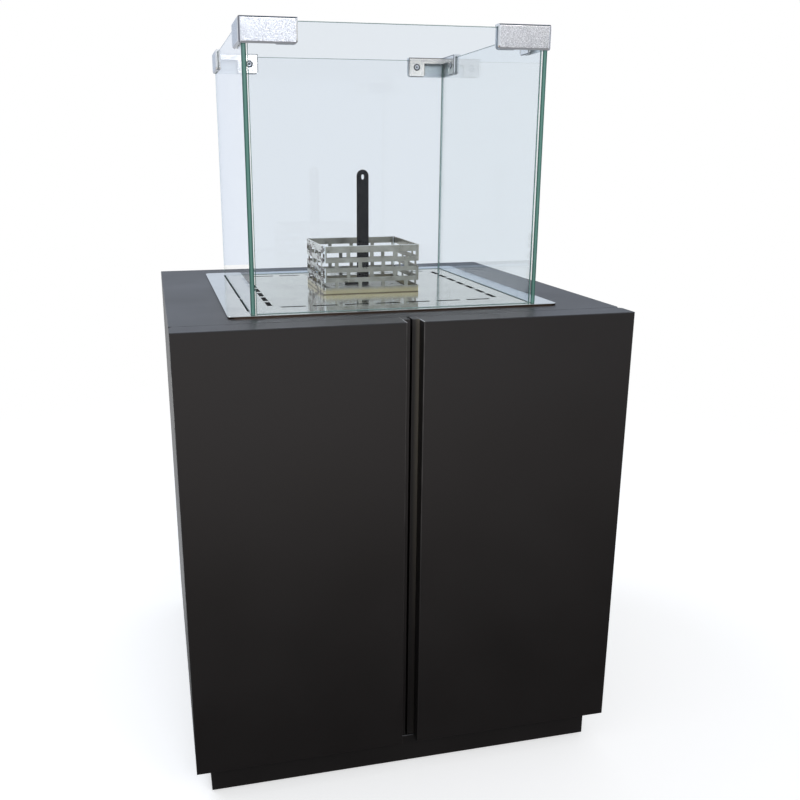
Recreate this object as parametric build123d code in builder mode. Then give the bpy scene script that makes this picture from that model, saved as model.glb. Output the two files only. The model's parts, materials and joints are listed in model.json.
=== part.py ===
from build123d import *
import os

# Bioethanol fireplace: pedestal cabinet, burner and four-sided glass surround.
# Millimetres. Origin at floor level under the middle of the cabinet, front towards -Y, +Z up.

os.makedirs("parts", exist_ok=True)

# ---- cabinet -------------------------------------------------------------------------------------
width = 600
depth = 600
body_height = 610
plinth_height = 45
plinth_inset = 20
board = 20  # panel board thickness
back_board = 8
arris = 0.8  # broken edge on painted boards
glide_height = 3
glide_radius = 12
plinth_block = 30

door_thickness = 40
door_rebate = 20  # depth of the finger groove
groove_width = 22  # mouth of the groove between the doors
door_gap = 3  # parting gap at the meeting edges
door_top_gap = 1  # door back to the top panel
door_bottom_gap = 2  # door to the plinth
corner_relief = 6  # bevel on the hinge-side back edge of a door
panel_relief = 5  # bevel on the front outer edge of side and top panels

rail_height = 60
air_bar_length = 70  # upright air slots in the back panel
air_bar_width = 12
air_bar_pitch = 40
air_bar_count = 6

# ---- hinges and catches --------------------------------------------------------------------------
hinge_length = 64
hinge_inset = 95  # hinge middle from the door's top and bottom edges
hinge_gap = 3  # door back to the side panel's front edge
hinge_axis_inset = 4  # hinge axis from the cabinet's outer face
leaf = 1.2
leaf_width = 15
knuckle_radius = 4
knuckle_gap = 0.4
pocket_clearance = 0.6
pin_radius = 2
pin_clearance = 0.05
hinge_screw_radius = 1.6
hinge_screw_head = 3.2
hinge_screw_sides = 8  # flats that stand for its round
hinge_screw_length = 14
hinge_screw_spacing = 40
hinge_screw_inset = 12  # screws from the cabinet's outer face

magnet_length = 40
magnet_height = 15
magnet_depth = 16
magnet_offset = 36  # catch middle from the cabinet's middle
magnet_gap = 0.5
magnet_corner = 2
keeper = 1  # steel strip on the door
keeper_margin = 1.5

# ---- burner --------------------------------------------------------------------------------------
plate_size = 450
plate = 3
plate_corner = 8
plate_edge = 0.4
plate_seat = 10  # plate bears this far on the top panel all round
vents_per_side = 7
vent_width = 7
vent_bridge = 10  # metal between two vents
vent_inset = 27  # vent row from the inner face of the side glass
vent_end_gap = 13

air_box_clearance = 3  # air box to the cut-out in the top panel
air_box_floor_gap = 16
air_box_sheet = 1
air_inlet_length = 90
air_inlet_width = 24
air_inlet_offset = 140

guard_slots = 4  # slots along each side in the rows that miss the corners
guard_slot_pitch = 35
guard_slot_length = 29.5
guard_slot_height = 7.4
guard_extra_x = 5
guard_rows = 4
guard_row_pitch = 14.3
guard_first_row = 13.6
guard_height = 70
guard_sheet = 1.5
guard_bend = 3.5
guard_seam = 0.6

tank_gap_x = 17.5  # guard face to tank wall
tank_gap_y = 17
tank_depth = 84
tank_sheet = 1.5
tank_corner = 10
tank_rim = 8  # rim overhang all round
tank_clearance = 2  # tank wall to the mouth in the plate
fibre_clearance = 0.5
fibre_height = 52
grid_sheet = 1
grid_hole = 19
grid_pitch = 25

lid_sheet = 1.5
lid_height = 4.5
lid_overhang = 3
lid_edge = 0.6
handle_width = 18
handle_thickness = 3
handle_length = 170
handle_hole_width = 4.5
handle_hole_length = 7.5
handle_hole_drop = 10.5
handle_toe_length = 19
handle_toe_height = 4
handle_place_y = -12
handle_edge = 0.4

# ---- glass surround ------------------------------------------------------------------------------
glass = 6
glass_height = 350
glass_arris = 0.5
pane_gap = 1.5  # front and back panes to the side panes
plate_margin_side = 30  # plate edge to the glass
plate_margin_front = 9
plate_margin_back = 31
pane_slot_width = 9  # air slot under each side pane
slot_land_front = 28  # pane bears on the plate beyond the slot's ends
slot_land_back = 4
slot_bridge = 8
slot_bridge_offset = 77

clip_leg = 72
clip_height = 30
clip_cover = 3
clip_flange = 3
clip_strip = 10
clip_tab = 28
clip_corner = 4.5  # round of the lower corners, and of the hollow between strip and tab
clip_edge = 2  # bevel round a cover
clip_bevel = 4  # flat on the clip's upright corner
clip_pad = 0.8
clip_pad_margin = 6  # pad to the cover's outline
clip_disc_radius = 9
clip_screw_head = 5.5
clip_screw_taper = 40  # degrees, countersunk head
clip_screw_sides = 12  # flats that stand for its round
clip_screw_rim_gap = 0.25
clip_screw_socket = 4  # across flats
clip_screw_socket_depth = 1.8

# ---- levels and faces worked out from the sizes above --------------------------------------------
half_width = width / 2
half_depth = depth / 2
body_bottom = plinth_height
body_top = plinth_height + body_height
panel_top = body_top - board
door_back = -half_depth + door_thickness
side_front = door_back + hinge_gap
top_front = door_back + door_top_gap
door_bottom = body_bottom + door_bottom_gap
door_height = body_top - door_bottom
inner_width = width - 2 * board
inner_height = panel_top - body_bottom

hinge_x = half_width - hinge_axis_inset
hinge_y = door_back + hinge_gap / 2
hinge_levels = (door_bottom + hinge_inset, body_top - hinge_inset)
hinge_screw_x = -half_width + hinge_screw_inset
hinge_screw_levels = [z + side * hinge_screw_spacing / 2 for z in hinge_levels for side in (-1, 1)]

plate_top = body_top + plate
cutout_size = plate_size - 2 * plate_seat
air_box_size = cutout_size - 2 * air_box_clearance
air_box_depth = tank_depth + air_box_floor_gap
guard_x = guard_slots * guard_slot_pitch + guard_extra_x
guard_y = guard_slots * guard_slot_pitch
tank_x = guard_x - 2 * tank_gap_x
tank_y = guard_y - 2 * tank_gap_y
rim_top = plate_top + tank_sheet
lid_top = rim_top + lid_height

glass_top = plate_top + glass_height
pane_outer = plate_size / 2 - plate_margin_side
pane_inner = pane_outer - glass
surround_front = -plate_size / 2 + plate_margin_front
surround_back = plate_size / 2 - plate_margin_back
surround_middle = (surround_back + surround_front) / 2
vent_line = pane_inner - vent_inset
vent_pitch = (2 * (vent_line - vent_end_gap) + vent_bridge) / vents_per_side

# ---- places shared by screws and the holes they sit in --------------------------------------------
frame_screw_places = [Location((hinge_screw_x, side_front, z), (-90, 0, 0)) for z in hinge_screw_levels]
door_screw_places = [Location((hinge_screw_x, door_back, z), (90, 0, 0)) for z in hinge_screw_levels]
hinge_places = [Location((-hinge_x, hinge_y, z)) for z in hinge_levels]
from_bottom = (Align.CENTER, Align.CENTER, Align.MIN)


# ---- hinge screw ----------------------------------------------------------------------------------
# Countersunk screw along local Z: tapered head in the leaf, shank in the board behind it. It also
# cuts its own holes.
with BuildPart() as hinge_screw:
    with BuildSketch(Plane.XY.offset(-leaf)):
        RegularPolygon(hinge_screw_head, hinge_screw_sides)
    with BuildSketch():
        RegularPolygon(hinge_screw_radius, hinge_screw_sides)
    loft()
    extrude(hinge_screw.faces().sort_by(Axis.Z)[-1], amount=hinge_screw_length)


def knuckle_pocket():
    """Round pocket that clears a whole hinge knuckle."""
    Cylinder(knuckle_radius + pocket_clearance, hinge_length + 2 * knuckle_gap, mode=Mode.SUBTRACT)


# ---- cabinet panels ------------------------------------------------------------------------------
with BuildPart() as left_side_panel:
    with BuildSketch(Plane.XY.offset(body_bottom)):
        with Locations((-half_width + board / 2, (half_depth + side_front) / 2)):
            Rectangle(board, half_depth - side_front)
    extrude(amount=inner_height)
    front_outer = left_side_panel.edges().filter_by(Axis.Z).group_by(Axis.Y)[0].sort_by(Axis.X)[0]
    chamfer(front_outer, panel_relief)
    with Locations(*hinge_places):
        knuckle_pocket()
    with Locations(*frame_screw_places):
        add(hinge_screw.part, mode=Mode.SUBTRACT)
left_side_panel.part.label = "left_side_panel"
export_step(left_side_panel.part, "parts/left_side_panel.step")

with BuildPart() as right_side_panel:
    mirror(left_side_panel.part, about=Plane.YZ)
right_side_panel.part.label = "right_side_panel"
export_step(right_side_panel.part, "parts/right_side_panel.step")

with BuildPart() as top_panel:
    with BuildSketch(Plane.XY.offset(panel_top)):
        with Locations((0, (half_depth + top_front) / 2)):
            Rectangle(width, half_depth - top_front)
        Rectangle(cutout_size, cutout_size, mode=Mode.SUBTRACT)
    extrude(amount=board)
    front_corners = top_panel.edges().filter_by(Axis.Z).group_by(Axis.Y)[0]
    chamfer(front_corners, panel_relief)
    top_outline = top_panel.faces().sort_by(Axis.Z)[-1].outer_wire().edges().sort_by(Axis.Y)
    chamfer(top_outline[1:], arris)  # all but the edge against the doors
top_panel.part.label = "top_panel"
export_step(top_panel.part, "parts/top_panel.step")

with BuildPart() as bottom_panel:
    with BuildSketch(Plane.XY.offset(body_bottom)):
        with Locations((0, (half_depth - back_board + side_front) / 2)):
            Rectangle(inner_width, half_depth - back_board - side_front)
    extrude(amount=board)
bottom_panel.part.label = "bottom_panel"
export_step(bottom_panel.part, "parts/bottom_panel.step")

with BuildPart() as back_panel:
    with BuildSketch(Plane.XZ.offset(-half_depth)):
        with Locations((0, body_bottom + inner_height / 2)):
            Rectangle(inner_width, inner_height)
        with Locations((0, panel_top - air_bar_length)):
            with GridLocations(air_bar_pitch, 0, air_bar_count, 1):
                SlotOverall(air_bar_length, air_bar_width, rotation=90, mode=Mode.SUBTRACT)
    extrude(amount=back_board)
back_panel.part.label = "back_panel"
export_step(back_panel.part, "parts/back_panel.step")

with BuildPart() as front_rail:
    with BuildSketch(Plane.XY.offset(panel_top - rail_height)):
        with Locations((0, side_front + board / 2)):
            Rectangle(inner_width, board)
    extrude(amount=rail_height)
front_rail.part.label = "front_rail"
export_step(front_rail.part, "parts/front_rail.step")

# ---- plinth --------------------------------------------------------------------------------------
plinth_outer_x = half_width - plinth_inset
plinth_outer_y = half_depth - plinth_inset
plinth_board_height = plinth_height - glide_height
block_x = plinth_outer_x - board - plinth_block / 2
block_y = plinth_outer_y - board - plinth_block / 2

with BuildPart() as plinth_front_board:
    with BuildSketch(Plane.XY.offset(glide_height)):
        with Locations((0, -plinth_outer_y + board / 2)):
            Rectangle(2 * plinth_outer_x, board)
    extrude(amount=plinth_board_height)
    chamfer(plinth_front_board.faces().sort_by(Axis.Y)[0].edges(), arris)
plinth_front_board.part.label = "plinth_front_board"
export_step(plinth_front_board.part, "parts/plinth_front_board.step")

with BuildPart() as plinth_back_board:
    mirror(plinth_front_board.part, about=Plane.XZ)
plinth_back_board.part.label = "plinth_back_board"
export_step(plinth_back_board.part, "parts/plinth_back_board.step")

with BuildPart() as plinth_side_boards:
    with BuildSketch(Plane.XY.offset(glide_height)):
        with GridLocations(2 * plinth_outer_x - board, 0, 2, 1):
            Rectangle(board, 2 * (plinth_outer_y - board))
    extrude(amount=plinth_board_height)
plinth_side_boards.part.label = "plinth_side_boards"
export_step(plinth_side_boards.part, "parts/plinth_side_boards.step")

with BuildPart() as plinth_blocks:
    with BuildSketch(Plane.XY.offset(glide_height)):
        with GridLocations(2 * block_x, 2 * block_y, 2, 2):
            Rectangle(plinth_block, plinth_block)
    extrude(amount=plinth_board_height)
plinth_blocks.part.label = "plinth_blocks"
export_step(plinth_blocks.part, "parts/plinth_blocks.step")

with BuildPart() as floor_glides:
    with GridLocations(2 * block_x, 2 * block_y, 2, 2):
        Cylinder(glide_radius, glide_height, align=from_bottom)
floor_glides.part.label = "floor_glides"
export_step(floor_glides.part, "parts/floor_glides.step")

# ---- doors ---------------------------------------------------------------------------------------
# The meeting edge is stepped back, so that two closed doors leave a groove to pull them by.
door_edge = -door_gap / 2
rebate_edge = -groove_width / 2

with BuildPart() as left_door:
    with BuildSketch(Plane.XY.offset(door_bottom)):
        with BuildLine():
            Polyline(
                (-half_width, -half_depth),
                (rebate_edge, -half_depth),
                (rebate_edge, -half_depth + door_rebate),
                (door_edge, -half_depth + door_rebate),
                (door_edge, door_back),
                (-half_width + corner_relief, door_back),
                (-half_width, door_back - corner_relief),
                close=True,
            )
        make_face()
    extrude(amount=door_height)
    chamfer(left_door.faces().sort_by(Axis.Y)[0].edges(), arris)
    with Locations(*hinge_places):
        knuckle_pocket()
    with Locations(*door_screw_places):
        add(hinge_screw.part, mode=Mode.SUBTRACT)
left_door.part.label = "left_door"
export_step(left_door.part, "parts/left_door.step")

with BuildPart() as right_door:
    mirror(left_door.part, about=Plane.YZ)
right_door.part.label = "right_door"
export_step(right_door.part, "parts/right_door.step")

# ---- hinges --------------------------------------------------------------------------------------
# The cabinet's leaf carries the two end knuckles, a quarter of the hinge each, and the pin. The
# door's leaf carries the middle half and turns on the pin.
end_knuckle = hinge_length / 4
middle_knuckle = hinge_length / 2
end_shift = (hinge_length - end_knuckle) / 2
notch = 2 * (knuckle_radius + knuckle_gap)  # cut in a leaf for the other leaf's knuckle
leaf_from_axis = (Align.MIN, Align.CENTER, Align.CENTER)

with BuildPart() as left_frame_leaves:
    with Locations(*hinge_places):
        with Locations((0, side_front - leaf / 2 - hinge_y, 0)):
            Box(leaf_width, leaf, hinge_length, align=leaf_from_axis)
        with Locations((0, 0, -end_shift), (0, 0, end_shift)):
            Cylinder(knuckle_radius, end_knuckle)
        Box(notch, notch, middle_knuckle, mode=Mode.SUBTRACT)
        Cylinder(pin_radius, hinge_length, mode=Mode.SUBTRACT)
    with Locations(*frame_screw_places):
        add(hinge_screw.part, mode=Mode.SUBTRACT)
left_frame_leaves.part.label = "left_frame_leaves"
export_step(left_frame_leaves.part, "parts/left_frame_leaves.step")

with BuildPart() as right_frame_leaves:
    mirror(left_frame_leaves.part, about=Plane.YZ)
right_frame_leaves.part.label = "right_frame_leaves"
export_step(right_frame_leaves.part, "parts/right_frame_leaves.step")

with BuildPart() as left_door_leaves:
    with Locations(*hinge_places):
        with Locations((0, door_back + leaf / 2 - hinge_y, 0)):
            Box(leaf_width, leaf, hinge_length, align=leaf_from_axis)
        Cylinder(knuckle_radius, middle_knuckle - 2 * knuckle_gap)
        with Locations((0, 0, -end_shift), (0, 0, end_shift)):
            Box(notch, notch, end_knuckle + 2 * knuckle_gap, mode=Mode.SUBTRACT)
        Cylinder(pin_radius + pin_clearance, hinge_length, mode=Mode.SUBTRACT)
    with Locations(*door_screw_places):
        add(hinge_screw.part, mode=Mode.SUBTRACT)
left_door_leaves.part.label = "left_door_leaves"
export_step(left_door_leaves.part, "parts/left_door_leaves.step")

with BuildPart() as right_door_leaves:
    mirror(left_door_leaves.part, about=Plane.YZ)
right_door_leaves.part.label = "right_door_leaves"
export_step(right_door_leaves.part, "parts/right_door_leaves.step")

with BuildPart() as hinge_pins:
    with Locations(*hinge_places):
        Cylinder(pin_radius, hinge_length)
    mirror(about=Plane.YZ)
hinge_pins.part.label = "hinge_pins"
export_step(hinge_pins.part, "parts/hinge_pins.step")

with BuildPart() as frame_screws:
    with Locations(*frame_screw_places):
        add(hinge_screw.part)
    mirror(about=Plane.YZ)
frame_screws.part.label = "frame_screws"
export_step(frame_screws.part, "parts/frame_screws.step")

with BuildPart() as left_door_screws:
    with Locations(*door_screw_places):
        add(hinge_screw.part)
left_door_screws.part.label = "left_door_screws"
export_step(left_door_screws.part, "parts/left_door_screws.step")

with BuildPart() as right_door_screws:
    mirror(left_door_screws.part, about=Plane.YZ)
right_door_screws.part.label = "right_door_screws"
export_step(right_door_screws.part, "parts/right_door_screws.step")

# ---- magnetic catches ----------------------------------------------------------------------------
catch_front = door_back + keeper + magnet_gap
catch_top = panel_top - rail_height

with BuildPart() as magnetic_catches:
    with BuildSketch(Plane.XY.offset(catch_top - magnet_height)):
        with Locations((0, catch_front + magnet_depth / 2)):
            with GridLocations(2 * magnet_offset, 0, 2, 1):
                RectangleRounded(magnet_length, magnet_depth, magnet_corner)
    extrude(amount=magnet_height)
magnetic_catches.part.label = "magnetic_catches"
export_step(magnetic_catches.part, "parts/magnetic_catches.step")

with BuildPart() as left_keeper:
    with BuildSketch(Plane.XZ.offset(-door_back)):
        with Locations((-magnet_offset, catch_top - magnet_height / 2)):
            Rectangle(magnet_length - 2 * keeper_margin, magnet_height - 2 * keeper_margin)
    extrude(amount=-keeper)
left_keeper.part.label = "left_keeper"
export_step(left_keeper.part, "parts/left_keeper.step")

with BuildPart() as right_keeper:
    mirror(left_keeper.part, about=Plane.YZ)
right_keeper.part.label = "right_keeper"
export_step(right_keeper.part, "parts/right_keeper.step")

# ---- burner plate and air box --------------------------------------------------------------------
mouth_x = tank_x + 2 * tank_clearance
mouth_y = tank_y + 2 * tank_clearance
slot_x = pane_outer - glass / 2
slot_front = surround_front + slot_land_front
slot_back = surround_back - slot_land_back

with BuildPart() as burner_plate:
    with BuildSketch(Plane.XY.offset(body_top)):
        RectangleRounded(plate_size, plate_size, plate_corner)
        RectangleRounded(mouth_x, mouth_y, tank_corner + tank_clearance, mode=Mode.SUBTRACT)
        with PolarLocations(vent_line, 4):
            with GridLocations(0, vent_pitch, 1, vents_per_side):
                Rectangle(vent_width, vent_pitch - vent_bridge, mode=Mode.SUBTRACT)
        with Locations((-slot_x, (slot_front + slot_back) / 2), (slot_x, (slot_front + slot_back) / 2)):
            Rectangle(pane_slot_width, slot_back - slot_front, mode=Mode.SUBTRACT)
        with Locations((-slot_x, -slot_bridge_offset), (slot_x, slot_bridge_offset)):
            Rectangle(pane_slot_width, slot_bridge)
    extrude(amount=plate)
    chamfer(burner_plate.faces().sort_by(Axis.Z)[-1].outer_wire().edges(), plate_edge)
burner_plate.part.label = "burner_plate"
export_step(burner_plate.part, "parts/burner_plate.step")

air_box_bottom = body_top - air_box_depth
air_box_inside = air_box_size - 2 * air_box_sheet

with BuildPart() as air_box_walls:
    with BuildSketch(Plane.XY.offset(air_box_bottom)):
        Rectangle(air_box_size, air_box_size)
        Rectangle(air_box_inside, air_box_inside, mode=Mode.SUBTRACT)
    extrude(amount=air_box_depth)
air_box_walls.part.label = "air_box_walls"
export_step(air_box_walls.part, "parts/air_box_walls.step")

with BuildPart() as air_box_floor:
    with BuildSketch(Plane.XY.offset(air_box_bottom)):
        Rectangle(air_box_inside, air_box_inside)
        with PolarLocations(air_inlet_offset, 4):
            Rectangle(air_inlet_width, air_inlet_length, mode=Mode.SUBTRACT)
    extrude(amount=air_box_sheet)
air_box_floor.part.label = "air_box_floor"
export_step(air_box_floor.part, "parts/air_box_floor.step")

# ---- burner tank ---------------------------------------------------------------------------------
tank_floor = rim_top - tank_depth
cavity_x = tank_x - 2 * tank_sheet
cavity_y = tank_y - 2 * tank_sheet
cavity_corner = tank_corner - tank_sheet

with BuildPart() as burner_tank:
    with BuildSketch(Plane.XY.offset(tank_floor)):
        RectangleRounded(tank_x, tank_y, tank_corner)
    extrude(amount=tank_depth)
    with BuildSketch(Plane.XY.offset(plate_top)):
        RectangleRounded(tank_x + 2 * tank_rim, tank_y + 2 * tank_rim, tank_corner + tank_rim)
    extrude(amount=tank_sheet)
    with BuildSketch(Plane.XY.offset(tank_floor + tank_sheet)):
        RectangleRounded(cavity_x, cavity_y, cavity_corner)
    extrude(amount=tank_depth, mode=Mode.SUBTRACT)
burner_tank.part.label = "burner_tank"
export_step(burner_tank.part, "parts/burner_tank.step")

fibre_x = cavity_x - 2 * fibre_clearance
fibre_y = cavity_y - 2 * fibre_clearance

with BuildPart() as fibre_block:
    with BuildSketch(Plane.XY.offset(tank_floor + tank_sheet)):
        RectangleRounded(fibre_x, fibre_y, cavity_corner - fibre_clearance)
    extrude(amount=fibre_height)
fibre_block.part.label = "fibre_block"
export_step(fibre_block.part, "parts/fibre_block.step")

with BuildPart() as retaining_grid:
    with BuildSketch(Plane.XY.offset(tank_floor + tank_sheet + fibre_height)):
        RectangleRounded(fibre_x, fibre_y, cavity_corner - fibre_clearance)
        with GridLocations(grid_pitch, grid_pitch, int(fibre_x // grid_pitch), int(fibre_y // grid_pitch)):
            Rectangle(grid_hole, grid_hole, mode=Mode.SUBTRACT)
    extrude(amount=grid_sheet)
retaining_grid.part.label = "retaining_grid"
export_step(retaining_grid.part, "parts/retaining_grid.step")

# ---- snuffer lid with its handle -----------------------------------------------------------------
with BuildPart() as snuffer_lid:
    with BuildSketch(Plane.XY.offset(rim_top)):
        RectangleRounded(tank_x + 2 * lid_overhang, tank_y + 2 * lid_overhang, tank_corner + lid_overhang)
    extrude(amount=lid_height)
    offset(amount=-lid_sheet, openings=snuffer_lid.faces().sort_by(Axis.Z)[0])
    chamfer(snuffer_lid.faces().sort_by(Axis.Z)[-1].edges(), lid_edge)
snuffer_lid.part.label = "snuffer_lid"
export_step(snuffer_lid.part, "parts/snuffer_lid.step")

handle_end = handle_width / 2  # the top end is a full round
handle_top = lid_top + handle_length

with BuildPart() as snuffer_handle:
    with BuildSketch(Plane.XZ.offset(-handle_place_y + handle_thickness / 2)):
        with Locations((0, lid_top)):
            Rectangle(handle_width, handle_length - handle_end, align=(Align.CENTER, Align.MIN))
            with Locations((-handle_end, 0)):
                Rectangle(handle_toe_length, handle_toe_height, align=(Align.MAX, Align.MIN))
        with Locations((0, handle_top - handle_end)):
            Circle(handle_end)
        with Locations((0, handle_top - handle_hole_drop)):
            SlotOverall(handle_hole_length, handle_hole_width, rotation=90, mode=Mode.SUBTRACT)
    extrude(amount=-handle_thickness)
    flat_faces = snuffer_handle.faces().filter_by(Axis.Y).sort_by(Axis.Y)
    chamfer(flat_faces[0].outer_wire().edges() + flat_faces[-1].outer_wire().edges(), handle_edge)
snuffer_handle.part.label = "snuffer_handle"
export_step(snuffer_handle.part, "parts/snuffer_handle.step")

# ---- flame guard ---------------------------------------------------------------------------------
# Two equal strips, each bent once and turned half a circle to each other. Every second row of
# slots is staggered by half a pitch, so that its end slots run round the bends.
guard_line_x = (guard_x - guard_sheet) / 2
guard_line_y = (guard_y - guard_sheet) / 2
guard_end_y = guard_y / 2 - guard_sheet - guard_seam
punch = 3 * guard_sheet

with BuildPart() as guard_front_right:
    with BuildSketch(Plane.XY.offset(plate_top)):
        with BuildLine():
            FilletPolyline(
                (-guard_x / 2, -guard_line_y),
                (guard_line_x, -guard_line_y),
                (guard_line_x, guard_end_y),
                radius=guard_bend - guard_sheet / 2,
            )
        trace(line_width=guard_sheet)
    extrude(amount=guard_height)
    for row in range(guard_rows):
        slots = guard_slots + (row + 1) % 2
        level = plate_top + guard_first_row + row * guard_row_pitch
        with Locations((0, -guard_line_y, level)):
            with GridLocations(guard_slot_pitch, 0, slots, 1):
                Box(guard_slot_length, punch, guard_slot_height, mode=Mode.SUBTRACT)
        with Locations((guard_line_x, 0, level)):
            with GridLocations(0, guard_slot_pitch, 1, slots):
                Box(punch, guard_slot_length, guard_slot_height, mode=Mode.SUBTRACT)
guard_front_right.part.label = "guard_front_right"
export_step(guard_front_right.part, "parts/guard_front_right.step")

with BuildPart() as guard_back_left:
    add(guard_front_right.part, rotation=(0, 0, 180))
guard_back_left.part.label = "guard_back_left"
export_step(guard_back_left.part, "parts/guard_back_left.step")

# ---- glass panes ---------------------------------------------------------------------------------
# The side panes run the full depth, and the front and back panes stand between them.
surround_mid_plane = Plane.XZ.offset(-surround_middle)
cross_pane = 2 * (pane_inner - pane_gap)

with BuildPart() as glass_left:
    with Locations((-pane_outer + glass / 2, surround_middle, plate_top)):
        Box(glass, surround_back - surround_front, glass_height, align=from_bottom)
    chamfer(glass_left.edges(), glass_arris)
glass_left.part.label = "glass_left"
export_step(glass_left.part, "parts/glass_left.step")

with BuildPart() as glass_right:
    mirror(glass_left.part, about=Plane.YZ)
glass_right.part.label = "glass_right"
export_step(glass_right.part, "parts/glass_right.step")

with BuildPart() as glass_front:
    with Locations((0, surround_front + glass / 2, plate_top)):
        Box(cross_pane, glass, glass_height, align=from_bottom)
    chamfer(glass_front.edges(), glass_arris)
glass_front.part.label = "glass_front"
export_step(glass_front.part, "parts/glass_front.step")

with BuildPart() as glass_back:
    mirror(glass_front.part, about=surround_mid_plane)
glass_back.part.label = "glass_back"
export_step(glass_back.part, "parts/glass_back.step")

# ---- corner clips --------------------------------------------------------------------------------
# Each leg of a clip is a channel upside down over a pane: cover outside, lip on top, flange inside.
# The flange is a narrow strip that widens to a square tab at the leg's end, and a screw through the
# tab presses a disc on the glass. The front leg is drawn, and the corner bisector mirrors it.
clip_x = -pane_outer - clip_pad - clip_cover
clip_y = surround_front - clip_pad - clip_cover
clip_top = glass_top + clip_pad + clip_cover
clip_bottom = clip_top - clip_height
flange_face = clip_cover + clip_pad + glass + clip_pad  # outer face of the clip to its flange
clip_wall = flange_face + clip_flange
corner_bisector = Plane(origin=(clip_x, clip_y, 0), z_dir=(1, -1, 0))
tab_middle = (clip_x + clip_leg - clip_tab / 2, (clip_top + clip_bottom) / 2)
tab_screw_place = Location((tab_middle[0], clip_y + clip_wall, tab_middle[1]), (-90, 0, 0))
tab_root = (clip_x + clip_leg - clip_tab, clip_top - clip_strip)

with BuildPart() as clip_front_left:
    with BuildSketch(Plane.XZ.offset(-clip_y)):
        with Locations((clip_x, clip_top)):
            cover = Rectangle(clip_leg, clip_height, align=(Align.MIN, Align.MAX))
        fillet(cover.vertices().group_by(Axis.Y)[0].sort_by(Axis.X)[-1], clip_corner)
    extrude(amount=-clip_cover)
    outline = clip_front_left.faces().sort_by(Axis.Y)[0].edges().sort_by(Axis.X)
    chamfer(outline[1:], clip_edge)  # all but the edge at the clip's corner
    with BuildSketch(Plane.XY.offset(clip_top - clip_cover)):
        with Locations((clip_x + clip_cover, clip_y + clip_cover)):
            Rectangle(clip_leg - clip_cover, clip_wall - clip_cover, align=(Align.MIN, Align.MIN))
    extrude(amount=clip_cover)
    with BuildSketch(Plane.XZ.offset(-clip_y - flange_face)) as flange:
        with Locations((clip_x + flange_face, clip_top)):
            Rectangle(clip_leg - flange_face, clip_strip, align=(Align.MIN, Align.MAX))
        with Locations(tab_middle):
            Rectangle(clip_tab, clip_height)
        fillet(flange.vertices().group_by(Axis.Y)[0], clip_corner)
        fillet(flange.vertices().sort_by_distance((*tab_root, 0))[0], clip_corner)
    extrude(amount=-clip_flange)
    with BuildSketch(Plane(tab_screw_place)):
        RegularPolygon(clip_screw_head + clip_screw_rim_gap, clip_screw_sides)
    extrude(amount=-clip_flange, taper=clip_screw_taper, mode=Mode.SUBTRACT)
    split(bisect_by=corner_bisector)
    mirror(about=corner_bisector)
    with BuildSketch(Plane.XY.offset(clip_bottom)):
        with BuildLine():
            Polyline(
                (clip_x, clip_y),
                (clip_x + clip_bevel, clip_y),
                (clip_x, clip_y + clip_bevel),
                close=True,
            )
        make_face()
    extrude(amount=clip_height, mode=Mode.SUBTRACT)
clip_front_left.part.label = "clip_front_left"
export_step(clip_front_left.part, "parts/clip_front_left.step")

with BuildPart() as clip_front_right:
    mirror(clip_front_left.part, about=Plane.YZ)
clip_front_right.part.label = "clip_front_right"
export_step(clip_front_right.part, "parts/clip_front_right.step")

with BuildPart() as clip_back_left:
    mirror(clip_front_left.part, about=surround_mid_plane)
clip_back_left.part.label = "clip_back_left"
export_step(clip_back_left.part, "parts/clip_back_left.step")

with BuildPart() as clip_back_right:
    mirror(clip_back_left.part, about=Plane.YZ)
clip_back_right.part.label = "clip_back_right"
export_step(clip_back_right.part, "parts/clip_back_right.step")

# pad of soft plastic between the clip and the outer face and top edge of the glass
with BuildPart() as clip_pads:
    with BuildSketch(Plane.YZ.offset(clip_x + clip_cover)):
        with Locations((clip_y + clip_cover, glass_top + clip_pad)):
            Rectangle(clip_pad, clip_height - clip_cover - clip_pad_margin, align=(Align.MIN, Align.MAX))
            Rectangle(clip_pad + glass, clip_pad, align=(Align.MIN, Align.MAX))
    extrude(amount=clip_leg - clip_cover - clip_pad_margin)
    mirror(about=corner_bisector)
    mirror(about=surround_mid_plane)
    mirror(about=Plane.YZ)
clip_pads.part.label = "clip_pads"
export_step(clip_pads.part, "parts/clip_pads.step")

with BuildPart() as clip_discs:
    with BuildSketch(Plane.XZ.offset(-clip_y - flange_face)):
        with Locations(tab_middle):
            Circle(clip_disc_radius)
    extrude(amount=clip_pad)
    mirror(about=corner_bisector)
    mirror(about=surround_mid_plane)
    mirror(about=Plane.YZ)
clip_discs.part.label = "clip_discs"
export_step(clip_discs.part, "parts/clip_discs.step")

with BuildPart() as clip_screws:
    with BuildSketch(Plane(tab_screw_place)):
        RegularPolygon(clip_screw_head, clip_screw_sides)
    extrude(amount=-clip_flange, taper=clip_screw_taper)
    with BuildSketch(Plane(tab_screw_place)):
        RegularPolygon(clip_screw_socket / 2, 6, major_radius=False)
    extrude(amount=-clip_screw_socket_depth, mode=Mode.SUBTRACT)
    mirror(about=corner_bisector)
    mirror(about=surround_mid_plane)
    mirror(about=Plane.YZ)
clip_screws.part.label = "clip_screws"
export_step(clip_screws.part, "parts/clip_screws.step")
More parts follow.
